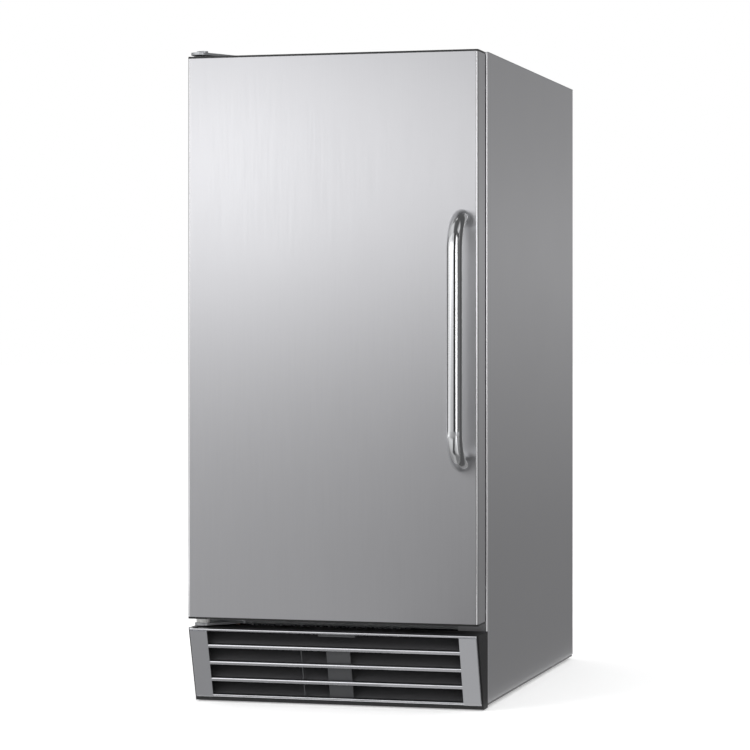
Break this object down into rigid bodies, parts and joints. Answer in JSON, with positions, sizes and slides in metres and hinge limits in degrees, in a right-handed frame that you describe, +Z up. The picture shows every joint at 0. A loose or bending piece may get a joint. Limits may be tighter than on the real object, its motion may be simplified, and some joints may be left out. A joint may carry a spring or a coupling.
{
  "type": "under-counter ice maker",
  "caption": "Narrow under-counter ice maker with a hinged insulated door, bar handle, louvred toe grille, crescent-ice mould, lift-out bin and a front-vented machine bay.",
  "frame": {"origin": "bottom centre of the bounding box, on the floor between the feet", "axes": "+X to the right seen from the front, +Y to the back, +Z up; the door faces -Y"},
  "size_m": [0.378, 0.69, 0.8306],
  "materials": {
    "stainless_steel": "vertically brushed",
    "top_steel": "brushed",
    "zinc_steel": "zinc plated",
    "black_steel": "satin black",
    "foot_steel": "zinc plated",
    "foam": "matte rigid foam",
    "white_liner": "moulded, satin",
    "polished_steel": "polished",
    "silver_trim": "satin silver",
    "black_plastic": "moulded black",
    "grey_plastic": "moulded grey",
    "white_nylon": "moulded white",
    "gasket_rubber": "soft black",
    "clear_bin": "translucent",
    "cast_aluminium": "coated casting",
    "fin_aluminium": "plain",
    "copper": "drawn tube",
    "motor_steel": "grey",
    "arm_wire": "plated wire",
    "fill_hose": "translucent"
  },
  "bodies": {
    "cabinet": {"right_side_panel": "stainless_steel", "left_side_panel": "stainless_steel", "top_panel": "top_steel", "front_sill": "zinc_steel", "machine_deck": "zinc_steel", "cabinet_foam": "foam", "liner": "white_liner", "back_panel": "zinc_steel", "rear_cover": "zinc_steel", "rear_screws": "zinc_steel", "base_pan": "black_steel", "foot_nuts": "zinc_steel", "grille_trim": "silver_trim", "grille_body": "black_plastic", "grille_stay": "grey_plastic", "top_hinge_bracket": "zinc_steel", "bottom_hinge_bracket": "zinc_steel", "hinge_pins": "zinc_steel", "hinge_screws": "zinc_steel", "hinge_plugs": "zinc_steel", "ice_mould": "cast_aluminium", "ice_stripper": "grey_plastic", "icemaker_head": "white_nylon", "icemaker_cover": "white_nylon", "icemaker_rail": "zinc_steel", "fill_cup": "white_liner", "fill_tube": "fill_hose", "evaporator_coil": "fin_aluminium", "evaporator_cover": "white_liner", "evaporator_motor": "motor_steel", "control_box": "grey_plastic", "compressor": "black_steel", "compressor_grommets": "gasket_rubber", "condenser_coil": "fin_aluminium", "fan_shroud": "zinc_steel", "condenser_motor": "motor_steel", "refrigerant_lines": "copper", "filter_drier": "copper", "water_valve": "white_nylon", "cord_gland": "black_plastic"},
    "door": {"door_skin": "stainless_steel", "door_top_cap": "black_plastic", "door_bottom_cap": "black_plastic", "door_liner": "white_liner", "door_foam": "foam", "door_gasket": "gasket_rubber", "door_handle": "polished_steel", "handle_screws": "zinc_steel", "hinge_bushes": "white_nylon"},
    "ice_bin": {"ice_bin": "clear_bin"},
    "ejector_rake": {"ejector_rake": "grey_plastic"},
    "shutoff_arm": {"shutoff_arm": "arm_wire"},
    "evaporator_fan": {"evaporator_fan": "black_plastic"},
    "condenser_fan": {"condenser_fan": "black_plastic"},
    "thermostat_knob": {"thermostat_knob": "black_plastic"},
    "power_switch": {"power_switch": "black_plastic"},
    "foot_front_left": {"foot_front_left": "foot_steel"},
    "foot_front_right": {"foot_front_right": "foot_steel"},
    "foot_rear_left": {"foot_rear_left": "foot_steel"},
    "foot_rear_right": {"foot_rear_right": "foot_steel"}
  },
  "joints": [
    {"name": "door_hinge", "type": "hinge", "parent": "cabinet", "child": "door", "pos_m": [-0.175, -0.264, 0.46525], "axis": [0, 0, -1], "range_deg": [0, 105]},
    {"name": "bin_slide", "type": "slide", "parent": "cabinet", "child": "ice_bin", "axis": [0, -1, 0], "range_m": [0, 0.035]},
    {"name": "rake_turn", "type": "hinge", "parent": "cabinet", "child": "ejector_rake", "pos_m": [0, 0.0905, 0.6405], "axis": [1, 0, 0], "continuous": true},
    {"name": "arm_lift", "type": "hinge", "parent": "cabinet", "child": "shutoff_arm", "pos_m": [0, 0.0325, 0.6195], "axis": [-1, 0, 0], "range_deg": [0, 40]},
    {"name": "evaporator_fan_spin", "type": "hinge", "parent": "cabinet", "child": "evaporator_fan", "pos_m": [0, 0.209, 0.6345], "axis": [0, 1, 0], "continuous": true},
    {"name": "condenser_fan_spin", "type": "hinge", "parent": "cabinet", "child": "condenser_fan", "pos_m": [-0.0275, -0.13, 0.05475], "axis": [0, 1, 0], "continuous": true},
    {"name": "thermostat_turn", "type": "hinge", "parent": "cabinet", "child": "thermostat_knob", "pos_m": [0.1056, -0.2, 0.7595], "axis": [0, -1, 0], "range_deg": [0, 270]},
    {"name": "power_rock", "type": "hinge", "parent": "cabinet", "child": "power_switch", "pos_m": [0.05625, -0.195, 0.7595], "axis": [-1, 0, 0], "range_deg": [0, 12]},
    {"name": "level_front_left", "type": "slide", "parent": "cabinet", "child": "foot_front_left", "axis": [0, 0, -1], "range_m": [0, 0.012]},
    {"name": "level_front_right", "type": "slide", "parent": "cabinet", "child": "foot_front_right", "axis": [0, 0, -1], "range_m": [0, 0.012]},
    {"name": "level_rear_left", "type": "slide", "parent": "cabinet", "child": "foot_rear_left", "axis": [0, 0, -1], "range_m": [0, 0.012]},
    {"name": "level_rear_right", "type": "slide", "parent": "cabinet", "child": "foot_rear_right", "axis": [0, 0, -1], "range_m": [0, 0.012]}
  ]
}
